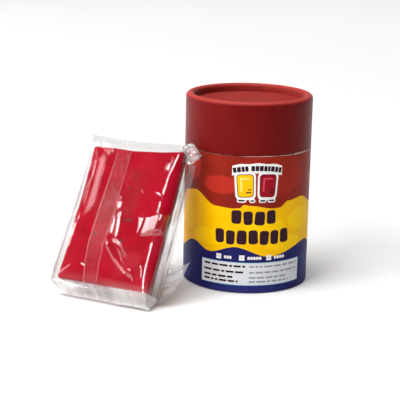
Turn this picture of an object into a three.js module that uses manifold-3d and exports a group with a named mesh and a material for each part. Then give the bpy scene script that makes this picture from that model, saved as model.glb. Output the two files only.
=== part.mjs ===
// Detailing clay bar in a clear film pouch, leaning on its round paper storage canister.
// Units are millimetres, +Z is up. The object stands on the plane Z = 0.
import * as THREE from "three";
import Module from "manifold-3d";
import { RoundedBoxGeometry } from "three/addons/geometries/RoundedBoxGeometry.js";
import { mergeVertices } from "three/addons/utils/BufferGeometryUtils.js";

const wasm = await Module();
wasm.setup();

// ---- driving dimensions: canister ----
const CANISTER_RADIUS = 36;
const CANISTER_HEIGHT = 108;
const BODY_HEIGHT = 78.4;
const SEAM_GAP = 0.5;
const NECK_TOP = 100.5;
const PAPER = 0.4;
const LINING = 0.3;
const BOARD = 1.3;
const NECK_BOARD = 1.6;
const GAP = 0.3;
const SLIDE_CLEARANCE = 0.4;
const RIM_WIDTH = 4.8;
const RECESS_FLOOR = 103.4;
const BASE_RECESS = 3;

// ---- driving dimensions: clay bar and pouch ----
const CLAY_WIDTH = 56;
const CLAY_LENGTH = 80;
const CLAY_THICKNESS = 13;
const CLAY_ROUND = 3;
const FILM = 0.5;
const FILM_LEFT_SLACK = 3.6;
const FILM_RIGHT_SLACK = 1;
const POUCH_DEPTH = 17.5;
const POUCH_ROUND = 3;
const POUCH_END_RISE = 5.5;
const FIN_WIDTH = 9;
const FIN_OFFSET = -7;

// Ends of the pouch: how far each bend of the film stands from the sleeve's ends.
const TOP_BACK_RISE = 1.5;
const TOP_RIDGE_DEPTH = 2;
const TOP_FRONT_DROP = 1;
const FOLD_FRONT_LEVEL = -5.5;
const FOLD_LEVEL = -7;
const FOLD_FRONT_DEPTH = 3;
const FOLD_BACK_DEPTH = 7.5;
const FOLD_BACK_DROP = 0.8;

// Corners of the ear, (across, up) from the pouch's right side at the top of the clay.
const EAR_CORNERS = [[-3, 1.5], [0.3, 1.5], [1.5, -9], [6, -7], [8.5, 0], [5, 3.5], [-3, 4]];
const EAR_DEPTH = 4;
const EAR_THICKNESS = 4;

// Corners of the flap, (across, up) from the pouch's right side at the foot of the clay.
const FLAP_ROOT = [[0.3, -0.5], [-4, -0.5], [-4, -1.2], [2.3, -1.2]];
const FLAP_TIP = [[10.3, 13], [13.3, 24], [9.3, 22], [0.3, 23]];
const FLAP_INSET = 1.4;
const FLAP_THICKNESS = 1.2;

// ---- placing of the pack beside the canister ----
const PACK_X = -78.4;
const PACK_Y = -62.3;
const PACK_YAW = 24;
const PACK_LEAN = 31;
const PACK_ROLL = 0.5;

const ROUND_STEPS = 64;
const ARC_STEPS = 3;
const CLAY_ROUND_STEPS = 3;

// ---- derived radii of the canister's layers ----
const WRAP_INNER = CANISTER_RADIUS - PAPER;
const TUBE_OUTER = WRAP_INNER - GAP;
const TUBE_INNER = TUBE_OUTER - BOARD;
const NECK_OUTER = TUBE_INNER - GAP;
const NECK_INNER = NECK_OUTER - NECK_BOARD;
const LINING_OUTER = NECK_INNER - GAP;
const LINING_INNER = LINING_OUTER - LINING;
const BASE_TOP = BASE_RECESS + NECK_BOARD;
const LID_BOTTOM = BODY_HEIGHT + SEAM_GAP;
const LID_TUBE_INNER = NECK_OUTER + SLIDE_CLEARANCE;
const RIM_ROUND = RIM_WIDTH / 2;
const RIM_CENTRE = CANISTER_RADIUS - RIM_ROUND;
const RIM_LEVEL = CANISTER_HEIGHT - RIM_ROUND;
const CUP_ROUND = RIM_ROUND - PAPER - GAP;
const CUP_INNER = RIM_CENTRE - CUP_ROUND;
const CUP_OUTER = LID_TUBE_INNER - GAP;
const FACE_BOTTOM = RECESS_FLOOR - LINING;
const CUP_FLOOR = FACE_BOTTOM - GAP;
const CUP_BOTTOM = CUP_FLOOR - NECK_BOARD;

const DEGREE = Math.PI / 180;

const PAPER_MAROON = { color: 0x7a1a18, roughness: 0.55, metalness: 0 };
const PAPER_PRINT = { color: 0xb0302a, roughness: 0.5, metalness: 0 };
const BOARD_GREY = { color: 0xb8aa96, roughness: 0.9, metalness: 0 };
const PAPER_WHITE = { color: 0xe6e0d4, roughness: 0.8, metalness: 0 };
const CLAY_RED = { color: 0xb8101e, roughness: 0.45, metalness: 0 };
const CLEAR_FILM = { color: 0xe8e8ea, roughness: 0.12, metalness: 0 };

function named(name, geometry, look) {
  const mesh = new THREE.Mesh(geometry, new THREE.MeshStandardMaterial(look));
  mesh.name = name;
  return mesh;
}

function point(x, y) {
  return new THREE.Vector2(x, y);
}

// Points on a circle from one angle to another, in degrees, both ends included.
function arc(x, y, radius, from, to, steps = ARC_STEPS) {
  const points = [];
  for (let i = 0; i <= steps; i += 1) {
    const angle = (from + ((to - from) * i) / steps) * DEGREE;
    points.push(point(x + radius * Math.cos(angle), y + radius * Math.sin(angle)));
  }
  return points;
}

// A ring or disc turned about Z. The outline is (radius, height), counter-clockwise.
function turned(outline) {
  const geometry = new THREE.LatheGeometry(outline, ROUND_STEPS);
  geometry.rotateX(Math.PI / 2);
  return geometry;
}

function ring(outline) {
  return turned([...outline, outline[0].clone()]);
}

function tube(inner, outer, bottom, top) {
  return ring([point(inner, bottom), point(outer, bottom), point(outer, top), point(inner, top)]);
}

function disc(radius, bottom, top) {
  return turned([point(0, bottom), point(radius, bottom), point(radius, top), point(0, top)]);
}

function solidOf(geometry) {
  const bare = geometry.clone();
  bare.deleteAttribute("normal");
  bare.deleteAttribute("uv");
  const merged = mergeVertices(bare);
  const vertProperties = new Float32Array(merged.attributes.position.array);
  const triVerts = new Uint32Array(merged.index.array);
  return new wasm.Manifold(new wasm.Mesh({ numProp: 3, vertProperties, triVerts }));
}

function geometryOf(solid) {
  const { vertProperties, triVerts } = solid.getMesh();
  const geometry = new THREE.BufferGeometry();
  geometry.setAttribute("position", new THREE.BufferAttribute(vertProperties, 3));
  geometry.setIndex(new THREE.BufferAttribute(triVerts, 1));
  geometry.computeVertexNormals();
  return geometry;
}

function joined(...geometries) {
  const solids = geometries.map(solidOf);
  return geometryOf(solids.reduce((whole, next) => whole.add(next)));
}

// ---- canister body ----

// The printed paper is cut flush with the top of the tube and stops just short of its foot.
function bodyLabel() {
  return named("body_label", tube(WRAP_INNER, CANISTER_RADIUS, GAP, BODY_HEIGHT), PAPER_PRINT);
}

function bodyTube() {
  return named("body_tube", tube(TUBE_INNER, TUBE_OUTER, 0, BODY_HEIGHT), BOARD_GREY);
}

function neckTube() {
  const bottom = BASE_TOP + GAP;
  return named("neck_tube", tube(NECK_INNER, NECK_OUTER, bottom, NECK_TOP), BOARD_GREY);
}

function neckLining() {
  const bottom = BASE_TOP + GAP + LINING + GAP;
  return named("neck_lining", tube(LINING_INNER, LINING_OUTER, bottom, NECK_TOP), PAPER_WHITE);
}

function baseDisc() {
  return named("base_disc", disc(NECK_OUTER, BASE_RECESS, BASE_TOP), BOARD_GREY);
}

function baseLining() {
  const bottom = BASE_TOP + GAP;
  return named("base_lining", disc(LINING_OUTER, bottom, bottom + LINING), PAPER_WHITE);
}

// ---- lid ----

// Outer wall, rolled rim and the turn-down to the recess, as one folded sheet.
function lidWrap() {
  const outline = [
    point(WRAP_INNER, LID_BOTTOM),
    point(CANISTER_RADIUS, LID_BOTTOM),
    ...arc(RIM_CENTRE, RIM_LEVEL, RIM_ROUND, 0, 180, 2 * ARC_STEPS),
    point(RIM_CENTRE - RIM_ROUND, FACE_BOTTOM),
    point(RIM_CENTRE - RIM_ROUND + PAPER, FACE_BOTTOM),
    ...arc(RIM_CENTRE, RIM_LEVEL, RIM_ROUND - PAPER, 180, 0, 2 * ARC_STEPS),
  ];
  return named("lid_wrap", ring(outline), PAPER_MAROON);
}

function lidTube() {
  return named("lid_tube", tube(LID_TUBE_INNER, TUBE_OUTER, LID_BOTTOM, RIM_LEVEL), BOARD_GREY);
}

// Flat disc with a wall that turns up into the rolled rim.
function lidCup() {
  const outline = [
    point(0, CUP_BOTTOM),
    point(CUP_OUTER, CUP_BOTTOM),
    point(CUP_OUTER, RIM_LEVEL + CUP_ROUND),
    ...arc(RIM_CENTRE, RIM_LEVEL, CUP_ROUND, 90, 180),
    point(CUP_INNER, CUP_FLOOR),
    point(0, CUP_FLOOR),
  ];
  return named("lid_cup", turned(outline), BOARD_GREY);
}

function lidFace() {
  const radius = RIM_CENTRE - RIM_ROUND - GAP;
  return named("lid_face", disc(radius, FACE_BOTTOM, RECESS_FLOOR), PAPER_MAROON);
}

// ---- bar pack, in its own frame: X across the bar, Y from front to back, Z along it ----

const POUCH_LEFT = -CLAY_WIDTH / 2 - FILM_LEFT_SLACK;
const POUCH_RIGHT = CLAY_WIDTH / 2 + FILM_RIGHT_SLACK;
const POUCH_FRONT = -GAP - FILM;
const POUCH_BACK = POUCH_FRONT + POUCH_DEPTH;
const SLEEVE_BOTTOM = 0;
const SLEEVE_TOP = CLAY_LENGTH + 1;

function clayBar() {
  const size = [CLAY_WIDTH, CLAY_THICKNESS, CLAY_LENGTH];
  const geometry = new RoundedBoxGeometry(...size, CLAY_ROUND_STEPS, CLAY_ROUND);
  geometry.translate(0, CLAY_THICKNESS / 2, CLAY_LENGTH / 2);
  return named("clay_bar", geometry, CLAY_RED);
}

// Outline of the pouch in plan, drawn in from its outer face by the given inset.
function pouchOutline(inset) {
  const radius = POUCH_ROUND - inset;
  const left = POUCH_LEFT + POUCH_ROUND;
  const right = POUCH_RIGHT - POUCH_ROUND;
  const front = POUCH_FRONT + POUCH_ROUND;
  const back = POUCH_BACK - POUCH_ROUND;
  return [
    ...arc(left, front, radius, 180, 270),
    ...arc(right, front, radius, 270, 360),
    ...arc(right, back, radius, 0, 90),
    ...arc(left, back, radius, 90, 180),
  ];
}

function filmSleeve() {
  const shape = new THREE.Shape(pouchOutline(0));
  shape.holes.push(new THREE.Path(pouchOutline(FILM)));
  const depth = SLEEVE_TOP - SLEEVE_BOTTOM;
  const geometry = new THREE.ExtrudeGeometry(shape, { depth, bevelEnabled: false });
  geometry.translate(0, 0, SLEEVE_BOTTOM);
  return named("film_sleeve", geometry, CLEAR_FILM);
}

function filmFinSeal() {
  const geometry = new THREE.BoxGeometry(FIN_WIDTH, FILM, SLEEVE_TOP - SLEEVE_BOTTOM);
  const middle = (SLEEVE_TOP + SLEEVE_BOTTOM) / 2;
  geometry.translate(FIN_OFFSET, POUCH_FRONT - GAP - FILM / 2, middle);
  return named("film_fin_seal", geometry, CLEAR_FILM);
}

// A prism along X from its (depth, height) section.
function prism(section, left, right) {
  const shape = new THREE.Shape(section.map(([y, z]) => point(y, z)));
  const geometry = new THREE.ExtrudeGeometry(shape, { depth: right - left, bevelEnabled: false });
  geometry.rotateX(Math.PI / 2);
  geometry.rotateZ(Math.PI / 2);
  geometry.translate(left, 0, 0);
  return geometry;
}

// A flat plate of film facing the front, from its (width, height) outline.
function plate(outline, front, thickness) {
  const shape = new THREE.Shape(outline.map(([x, z]) => point(x, z)));
  const geometry = new THREE.ExtrudeGeometry(shape, { depth: thickness, bevelEnabled: false });
  geometry.rotateX(Math.PI / 2);
  geometry.translate(0, front + thickness, 0);
  return geometry;
}

// Closed top end with the ear that its right corner makes.
function filmTopSeal() {
  const base = SLEEVE_TOP + GAP;
  const peak = CLAY_LENGTH + POUCH_END_RISE;
  const section = [
    [POUCH_FRONT, base],
    [POUCH_BACK, base],
    [POUCH_BACK, base + TOP_BACK_RISE],
    [POUCH_FRONT + TOP_RIDGE_DEPTH, peak],
    [POUCH_FRONT, peak - TOP_FRONT_DROP],
  ];
  const roof = prism(section, POUCH_LEFT, POUCH_RIGHT);
  const corners = EAR_CORNERS.map(([x, z]) => [POUCH_RIGHT + x, CLAY_LENGTH + z]);
  const ear = plate(corners, EAR_DEPTH, EAR_THICKNESS);
  return named("film_top_seal", joined(roof, ear), CLEAR_FILM);
}

// Closed bottom end, folded under the bar, with the flap that its right corner makes.
function filmBottomSeal() {
  const top = SLEEVE_BOTTOM - GAP;
  const section = [
    [POUCH_FRONT, top],
    [POUCH_FRONT, FOLD_FRONT_LEVEL],
    [FOLD_FRONT_DEPTH, FOLD_LEVEL],
    [FOLD_BACK_DEPTH, FOLD_LEVEL],
    [POUCH_BACK, top - FOLD_BACK_DROP],
    [POUCH_BACK, top],
  ];
  const fold = prism(section, POUCH_LEFT, POUCH_RIGHT);
  const corners = [...FLAP_ROOT, ...FLAP_TIP].map(([x, z]) => [POUCH_RIGHT + x, z]);
  const flap = plate(corners, POUCH_BACK - FLAP_INSET, FLAP_THICKNESS);
  return named("film_bottom_seal", joined(fold, flap), CLEAR_FILM);
}

// ---- assembly ----

function canister() {
  const group = new THREE.Group();
  group.add(bodyLabel(), bodyTube(), neckTube(), neckLining(), baseDisc(), baseLining());
  group.add(lidWrap(), lidTube(), lidCup(), lidFace());
  return group;
}

// The pack turned and leaned back, then lowered until it stands on the table.
function barPack() {
  const pack = new THREE.Group();
  pack.add(clayBar(), filmSleeve(), filmFinSeal(), filmTopSeal(), filmBottomSeal());
  pack.rotation.y = -PACK_ROLL * DEGREE;
  const lean = new THREE.Group();
  lean.add(pack);
  lean.rotation.x = -PACK_LEAN * DEGREE;
  const stand = new THREE.Group();
  stand.add(lean);
  stand.rotation.z = -PACK_YAW * DEGREE;
  stand.position.set(PACK_X, PACK_Y, 0);
  stand.position.z = -new THREE.Box3().setFromObject(stand, true).min.z;
  return stand;
}

const object = new THREE.Group();
object.add(canister(), barPack());
const middle = new THREE.Box3().setFromObject(object, true).getCenter(new THREE.Vector3());
object.position.set(-middle.x, -middle.y, 0);

export default object;
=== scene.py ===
"""Looks for a detailing clay bar in its clear film pouch, leaning on a round paper canister.

Shapes are worked out in millimetres, on the canister's axis or in the bar pack's own frame
(X across the bar, Y from its front to its back, Z along it), and placed in metres on the CAD frame.
"""

import math

import bpy
import numpy as np
from mathutils import Matrix, Vector


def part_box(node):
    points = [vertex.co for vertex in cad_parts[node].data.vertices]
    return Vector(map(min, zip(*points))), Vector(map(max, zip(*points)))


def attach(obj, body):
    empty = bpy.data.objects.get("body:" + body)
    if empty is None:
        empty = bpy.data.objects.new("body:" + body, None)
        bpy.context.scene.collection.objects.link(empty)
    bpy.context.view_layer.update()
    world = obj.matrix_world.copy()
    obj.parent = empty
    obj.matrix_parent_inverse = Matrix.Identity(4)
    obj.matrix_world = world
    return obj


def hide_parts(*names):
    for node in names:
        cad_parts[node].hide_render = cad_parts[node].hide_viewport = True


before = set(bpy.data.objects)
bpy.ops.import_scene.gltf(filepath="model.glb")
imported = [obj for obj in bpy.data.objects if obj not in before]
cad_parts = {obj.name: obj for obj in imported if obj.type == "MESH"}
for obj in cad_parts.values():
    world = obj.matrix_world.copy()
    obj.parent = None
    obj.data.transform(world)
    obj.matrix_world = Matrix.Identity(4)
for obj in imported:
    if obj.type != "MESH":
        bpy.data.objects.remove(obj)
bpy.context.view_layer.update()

MM = 0.001


# ---- places taken from the frame ----

def centre_of(node):
    low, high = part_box(node)
    return np.array((low + high) / 2) / MM


def height_of(node, end):
    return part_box(node)[end].z / MM


AXIS = centre_of("body_tube") * np.array([1, 1, 0])
FOOT = height_of("body_tube", 0)
LABEL_FOOT = height_of("body_label", 0)
BODY_TOP = height_of("body_label", 1)
LID_FOOT = height_of("lid_wrap", 0)
LID_TOP = height_of("lid_wrap", 1)
NECK_FOOT = height_of("neck_tube", 0)
NECK_TOP = height_of("neck_tube", 1)
BASE_FOOT = height_of("base_disc", 0)
BASE_TOP = height_of("base_disc", 1)
FACE_FOOT = height_of("lid_face", 0)
FACE_TOP = height_of("lid_face", 1)
CUP_FOOT = height_of("lid_cup", 0)


def radius_of(node):
    low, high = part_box(node)
    return (high.x - low.x) / 2 / MM


RADIUS = radius_of("body_label")
TUBE_RADIUS = radius_of("body_tube")
NECK_RADIUS = radius_of("neck_tube")
LINING_RADIUS = radius_of("neck_lining")
CUP_RADIUS = radius_of("lid_cup")
FACE_RADIUS = radius_of("lid_face")
PAPER = 0.4
LINING = 0.3
BOARD = 1.3
NECK_BOARD = 1.6
RIM_ROUND = 2.4
RIM_CENTRE = RADIUS - RIM_ROUND
RIM_LEVEL = LID_TOP - RIM_ROUND
LID_TUBE_INNER = NECK_RADIUS + 0.4

PACK_YAW = 24
PACK_LEAN = 31
PACK_ROLL = 0.5
CLAY_WIDTH = 56
CLAY_LENGTH = 80
CLAY_THICKNESS = 13


def turn(angle, axis):
    return np.array(Matrix.Rotation(math.radians(angle), 3, axis))


PACK_TURN = turn(-PACK_YAW, "Z") @ turn(-PACK_LEAN, "X") @ turn(-PACK_ROLL, "Y")
CLAY_MIDDLE = np.array([0, CLAY_THICKNESS / 2, CLAY_LENGTH / 2])
PACK_ORIGIN = centre_of("clay_bar") - PACK_TURN @ CLAY_MIDDLE


def on_axis(points):
    return np.asarray(points, float) + AXIS


def in_pack(points):
    return np.asarray(points, float) @ PACK_TURN.T + PACK_ORIGIN


# ---- camera ----

LENS = 116.06
CAMERA_DISTANCE = 747.3
CAMERA_PITCH = math.radians(14.24)
CAMERA_PAN = math.radians(-2.123)
CAMERA_ROLL = math.radians(1.213)
CAMERA_AIM_HEIGHT = 44.17


def make_camera():
    forward = Vector((
        math.cos(CAMERA_PITCH) * math.sin(CAMERA_PAN),
        math.cos(CAMERA_PITCH) * math.cos(CAMERA_PAN),
        -math.sin(CAMERA_PITCH),
    ))
    right = forward.cross(Vector((0, 0, 1))).normalized()
    up = right.cross(forward)
    c, s = math.cos(CAMERA_ROLL), math.sin(CAMERA_ROLL)
    right, up = right * c + up * s, up * c - right * s
    rise = CAMERA_AIM_HEIGHT + CAMERA_DISTANCE * math.sin(CAMERA_PITCH)
    place = on_axis([0, -CAMERA_DISTANCE * math.cos(CAMERA_PITCH), rise]) * MM
    data = bpy.data.cameras.new("camera")
    data.lens = LENS
    data.sensor_width = 36
    data.clip_start = 0.01
    data.clip_end = 50
    camera = bpy.data.objects.new("camera", data)
    turned_to = Matrix((right, up, -forward)).transposed().to_4x4()
    camera.matrix_world = Matrix.Translation(Vector(place)) @ turned_to
    bpy.context.scene.collection.objects.link(camera)
    bpy.context.scene.camera = camera


# ---- mesh helpers ----

def smoothstep(t):
    t = np.clip(t, 0, 1)
    return t * t * (3 - 2 * t)


def mix(a, b, t):
    return a + (b - a) * t


NOISE_CELLS = 97


def lattice_noise(u, v, seed):
    """Smooth noise from -1 to 1 that changes over one unit of u and v."""
    grid = np.random.default_rng(seed).uniform(-1, 1, (NOISE_CELLS, NOISE_CELLS))
    iu, iv = np.floor(u).astype(int), np.floor(v).astype(int)
    fu, fv = u - iu, v - iv
    fu = fu ** 3 * (fu * (fu * 6 - 15) + 10)
    fv = fv ** 3 * (fv * (fv * 6 - 15) + 10)

    def at(i, j):
        return grid[(iu + i) % NOISE_CELLS, (iv + j) % NOISE_CELLS]

    return mix(mix(at(0, 0), at(1, 0), fu), mix(at(0, 1), at(1, 1), fu), fv)


def rumple(u, v, cell, seed, octaves=3):
    """Several layers of lattice noise, each at half the size and strength."""
    total = 0
    for k in range(octaves):
        total = total + lattice_noise(u / cell * 2 ** k, v / cell * 2 ** k, seed + k) / 2 ** k
    return total


def through(points, at):
    """A smooth curve through (position, value) points, level at each of them."""
    points = np.asarray(points, float)
    i = np.clip(np.searchsorted(points[:, 0], at) - 1, 0, len(points) - 2)
    a, b = points[i], points[i + 1]
    return mix(a[..., 1], b[..., 1], smoothstep((at - a[..., 0]) / (b[..., 0] - a[..., 0])))


def between(points, at):
    """Straight lines through (position, value) points."""
    return np.interp(at, *np.array(points).T)


def ring_points(r, a, z):
    """Points about the canister's axis, from radius, angle from the front, and height."""
    return on_axis(np.stack([r * np.sin(a), -r * np.cos(a), z + 0 * a], -1))


def make_mesh(name, points, faces, looks, body, stands_for=(), sharp=35, indices=None):
    """A piece from points in millimetres in the row frame, riding on a body."""
    mesh = bpy.data.meshes.new(name)
    mesh.from_pydata((np.asarray(points) * MM).tolist(), [], [tuple(f) for f in faces])
    for look in looks:
        mesh.materials.append(look)
    if indices is not None:
        mesh.polygons.foreach_set("material_index", np.asarray(indices, np.int32))
    mesh.polygons.foreach_set("use_smooth", np.ones(len(mesh.polygons), bool))
    mesh.update()
    mesh.validate()
    if sharp:
        mesh.set_sharp_from_angle(angle=math.radians(sharp))
    piece = bpy.data.objects.new(name, mesh)
    bpy.context.scene.collection.objects.link(piece)
    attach(piece, body)
    if stands_for:
        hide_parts(*stands_for)
    return piece


def set_attribute(piece, name, values):
    layer = piece.data.attributes.new(name, "FLOAT", "POINT")
    layer.data.foreach_set("value", np.asarray(values, np.float32).ravel())


def grid_faces(rows, columns, wrap=False, wrap_rows=False, start=0):
    """Quads of a rows by columns lattice of points, in row order."""
    r = np.arange(rows if wrap_rows else rows - 1)
    c = np.arange(columns if wrap else columns - 1)
    r, c = np.meshgrid(r, c, indexing="ij")
    r2, c2 = (r + 1) % rows, (c + 1) % columns
    quads = np.stack([r * columns + c, r * columns + c2, r2 * columns + c2, r2 * columns + c], -1)
    return quads.reshape(-1, 4) + start


def bend(x, y, radius, start, end, steps):
    angles = np.radians(np.linspace(start, end, steps + 1))
    return [(x + radius * math.cos(a), y + radius * math.sin(a)) for a in angles]


def fine(outline, step):
    """The outline's points with more put along its straight stretches."""
    points = []
    for (r0, z0), (r1, z1) in zip(outline, outline[1:] + outline[:1]):
        count = max(1, math.ceil(math.hypot(r1 - r0, z1 - z0) / step))
        for k in range(count):
            points.append((mix(r0, r1, k / count), mix(z0, z1, k / count)))
    return points


ROUND_COLUMNS = 288
ROUND_ANGLES = np.linspace(0, 2 * math.pi, ROUND_COLUMNS, endpoint=False)
DISC_RINGS = 12


def turned_piece(name, outline, look, body, stands_for, step=3, wobble=None):
    """A closed ring turned about the canister's axis, from its (radius, height) outline."""
    outline = np.array(fine(outline, step))
    r = np.repeat(outline[:, :1], ROUND_COLUMNS, 1)
    z = np.repeat(outline[:, 1:], ROUND_COLUMNS, 1)
    a = np.repeat(ROUND_ANGLES[None], len(outline), 0)
    if wobble:
        r, z = wobble(r, a, z)
    points = ring_points(r, a, z).reshape(-1, 3)
    faces = grid_faces(len(outline), ROUND_COLUMNS, wrap=True, wrap_rows=True)
    return make_mesh(name, points, faces, [look], body, stands_for)


def turned_disc(name, radius, bottom, top, edge, look, body, stands_for):
    """A disc with softened edges: rings from the middle of its foot round to the middle of its top."""
    flat = radius - edge
    outline = [(f * flat, bottom) for f in np.linspace(0, 1, DISC_RINGS)[1:]]
    outline += bend(flat, bottom + edge, edge, -90, 0, 3)[1:]
    outline += bend(flat, top - edge, edge, 0, 90, 3)
    outline += [(f * flat, top) for f in np.linspace(1, 0, DISC_RINGS)[1:-1]]
    outline = np.array(outline)
    rings = ring_points(outline[:, :1], ROUND_ANGLES, outline[:, 1:]).reshape(-1, 3)
    faces = [tuple(f) for f in grid_faces(len(outline), ROUND_COLUMNS, wrap=True)]
    points = np.vstack([rings, on_axis([[0, 0, bottom], [0, 0, top]])])
    low, high = len(rings), len(rings) + 1
    last = len(rings) - ROUND_COLUMNS
    for c in range(ROUND_COLUMNS):
        d = (c + 1) % ROUND_COLUMNS
        faces.append((low, d, c))
        faces.append((high, last + c, last + d))
    return make_mesh(name, points, faces, [look], body, stands_for)


# ---- material helpers ----

def srgb(r, g, b):
    """A screen colour, 0 to 255, as the linear colour that shaders take."""
    out = []
    for v in (r, g, b):
        v /= 255
        out.append(v / 12.92 if v <= 0.04045 else ((v + 0.055) / 1.055) ** 2.4)
    return (*out, 1)


class Nodes:
    """A node tree being built, with short ways to add and join nodes."""

    def __init__(self, tree, output):
        self.tree = tree
        self.tree.nodes.clear()
        self.out = self.add("Output" + output)

    def add(self, kind, sockets=(), **settings):
        node = self.tree.nodes.new("ShaderNode" + kind)
        for key, value in settings.items():
            setattr(node, key, value)
        for key, value in dict(sockets).items():
            self.put(node.inputs[key], value)
        return node

    def put(self, socket, value):
        if isinstance(value, bpy.types.NodeSocket):
            self.tree.links.new(value, socket)
        else:
            socket.default_value = value

    def span(self, value, low, high, to_low=0.0, to_high=1.0, **settings):
        sockets = {"Value": value, "From Min": low, "From Max": high}
        sockets.update({"To Min": to_low, "To Max": to_high})
        return self.add("MapRange", sockets, **settings).outputs[0]

    def mixed(self, share, a, b):
        """Two shaders mixed by a share."""
        return self.add("MixShader", {0: share, 1: a.outputs[0], 2: b.outputs[0]})

    def finish(self, shader):
        self.tree.links.new(shader.outputs[0], self.out.inputs["Surface"])


class Look(Nodes):
    """A node material being built."""

    def __init__(self, name):
        self.material = bpy.data.materials.new(name)
        self.material.use_nodes = True
        super().__init__(self.material.node_tree, "Material")

    def place(self):
        return self.add("TexCoord").outputs["Object"]

    def noise(self, scale, detail=4, roughness=0.55, stretch=(1, 1, 1)):
        """Noise from 0 to 1 in the object's own coordinates; scale is in features per metre."""
        place = self.place()
        if stretch != (1, 1, 1):
            place = self.add("Mapping", {"Vector": place, "Scale": stretch}).outputs[0]
        sockets = {"Vector": place, "Scale": scale, "Detail": detail, "Roughness": roughness}
        return self.add("TexNoise", sockets).outputs["Fac"]

    def attribute(self, name):
        return self.add("Attribute", attribute_name=name).outputs["Fac"]

    def maths(self, operation, a, b=0.0, clamp=False):
        return self.add("Math", {0: a, 1: b}, operation=operation, use_clamp=clamp).outputs[0]

    def blend(self, share, a, b):
        """Two colours mixed by a share."""
        return self.add("Mix", {"Factor": share, 6: a, 7: b}, data_type="RGBA").outputs[2]

    def bump(self, height, distance):
        return self.add("Bump", {"Height": height, "Distance": distance, "Strength": 1.0}).outputs[0]

    def finish(self, shader):
        super().finish(shader)
        return self.material

    def solid(self, sockets):
        """Finish with one solid surface."""
        return self.finish(self.add("BsdfPrincipled", sockets))


def paper_look(name, colour, lighter, roughness, grain=0.00006, blob=None, gloss=0.06, cloudy=0.35,
               nap=0.0):
    """Printed paper: a slightly clouded colour, fine fibre and a soft uneven sheen."""
    look = Look(name)
    cloud = look.noise(90, 3)
    fibre = look.noise(1600, 3, 0.6, (1, 1, 0.35))
    share = look.span(cloud, 0.3, 0.75, 0.0, cloudy)
    if blob is not None:
        share = look.maths("ADD", share, look.maths("MULTIPLY", look.attribute(blob), 0.85), True)
    tone = look.blend(share, colour, lighter)
    darker = tuple(c * 0.82 for c in colour[:3]) + (1,)
    return look.solid({
        "Base Color": look.blend(look.span(fibre, 0.45, 0.8, 0.0, 0.35), tone, darker),
        "Roughness": look.span(cloud, 0.3, 0.7, roughness - 0.04, roughness + 0.05),
        "Normal": look.bump(fibre, grain),
        "Specular IOR Level": gloss,
        "Sheen Weight": nap,
        "Sheen Roughness": 0.35,
    })


def board_look(name, colour=srgb(186, 170, 146), darker=srgb(160, 143, 120)):
    """Wound grey board: pressed fibres with darker flecks."""
    look = Look(name)
    fibre = look.noise(1100, 5, 0.7, (1, 1, 0.2))
    fleck = look.noise(2600, 2, 0.5)
    tone = look.blend(look.span(fibre, 0.35, 0.7), colour, darker)
    return look.solid({
        "Base Color": look.blend(look.span(fleck, 0.68, 0.78, 0.0, 0.5), tone, srgb(96, 84, 70)),
        "Roughness": look.span(fibre, 0.2, 0.8, 0.82, 0.95),
        "Normal": look.bump(fibre, 0.0001),
        "Specular IOR Level": 0.25,
    })


def ink_look(name, colour, roughness=0.5):
    """One flat ink printed on the label, with the paper's fibre under it."""
    return paper_look(name, colour, tuple(min(1, c * 1.12) for c in colour[:3]) + (1,), roughness)


# ---- canister: board, linings and base ----

def ring_outline(inner, outer, bottom, top, edge=0.12):
    """A tube wall's outline with softened edges, from its inner foot."""
    return [
        (inner, bottom + edge), (inner + edge, bottom), (outer - edge, bottom), (outer, bottom + edge),
        (outer, top - edge), (outer - edge, top), (inner + edge, top), (inner, top - edge),
    ]


def make_boards():
    board = board_look("grey_board")
    lining = paper_look("white_lining", srgb(226, 220, 206), srgb(238, 234, 224), 0.7)
    tube = ring_outline(TUBE_RADIUS - BOARD, TUBE_RADIUS, FOOT, BODY_TOP)
    turned_piece("canister_tube", tube, board, "canister", ["body_tube"])
    neck = ring_outline(NECK_RADIUS - NECK_BOARD, NECK_RADIUS, NECK_FOOT, NECK_TOP, 0.3)
    turned_piece("canister_neck", neck, board, "canister", ["neck_tube"])
    foot = height_of("neck_lining", 0)
    inside = ring_outline(LINING_RADIUS - LINING, LINING_RADIUS, foot, NECK_TOP, 0.05)
    turned_piece("neck_lining_paper", inside, lining, "canister", ["neck_lining"])
    turned_disc("canister_base", NECK_RADIUS, BASE_FOOT, BASE_TOP, 0.3, board, "canister",
                ["base_disc"])
    low, high = height_of("base_lining", 0), height_of("base_lining", 1)
    turned_disc("base_lining_paper", LINING_RADIUS, low, high, 0.05, lining, "canister",
                ["base_lining"])


# ---- canister: printed label ----
# Places on the label are (across, height): across is the distance round the canister, to the
# right of its front line, and height is above the table.

LABEL_ROUND = 2 * math.pi * RADIUS
LABEL_JOIN = -52
LABEL_COLUMNS, BAND_ROWS = 400, 34
RED_EDGE = [
    (-52, 52), (-32, 56), (-17.5, 49.2), (-8, 48.7), (-3.6, 49.1), (-1.2, 51.1), (3, 50.6),
    (16, 48.8), (19.5, 49), (25, 52.2), (36, 53.2), (52, 47), (66, 53.5), (82, 48.5), (98, 54),
    (118, 49), (137, 54.5), (155, 49), (174.2, 52),
]
BLUE_EDGE = [
    (-52, 19.5), (-33.5, 26.6), (-21, 22.5), (-5.5, 26.7), (14, 21.1), (42, 26.8), (60, 21),
    (77, 26), (95, 20.5), (116, 27), (134, 22), (153, 27), (174.2, 19.5),
]
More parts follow.
